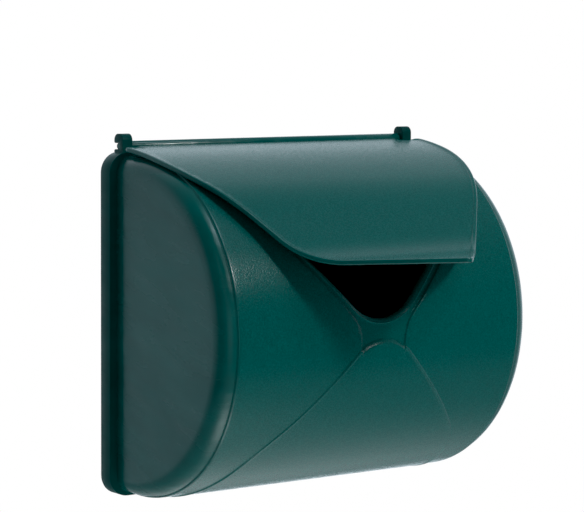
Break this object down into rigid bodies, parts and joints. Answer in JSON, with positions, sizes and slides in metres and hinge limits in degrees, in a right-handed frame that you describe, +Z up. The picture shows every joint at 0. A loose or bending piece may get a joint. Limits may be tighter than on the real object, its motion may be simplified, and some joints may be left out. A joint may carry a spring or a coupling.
{
  "type": "wall mounted mailbox",
  "caption": "Moulded half-barrel mailbox for a wall or play tower, with an envelope-shaped front, a V-shaped mouth and a hinged, pointed lid.",
  "frame": {"origin": "middle of the back plate's rear face, on the wall plane", "axes": "+X to the right seen from the front, +Y into the wall, +Z up; the mailbox stands out along -Y"},
  "size_m": [0.33, 0.2745, 0.3],
  "materials": {
    "smooth_green_plastic": "smooth semi-gloss bottle green moulding",
    "textured_green_plastic": "fine spark-grained satin bottle green moulding",
    "zinc_plated_steel": "bright zinc"
  },
  "bodies": {
    "box": {"back_plate": "smooth_green_plastic", "front_shell": "textured_green_plastic", "shell_screws": "zinc_plated_steel"},
    "lid": {"lid": "textured_green_plastic"}
  },
  "joints": [
    {"name": "lid_hinge", "type": "hinge", "parent": "box", "child": "lid", "pos_m": [0, -0.0055, 0.1472], "axis": [-1, 0, 0], "range_deg": [0, 95]}
  ]
}
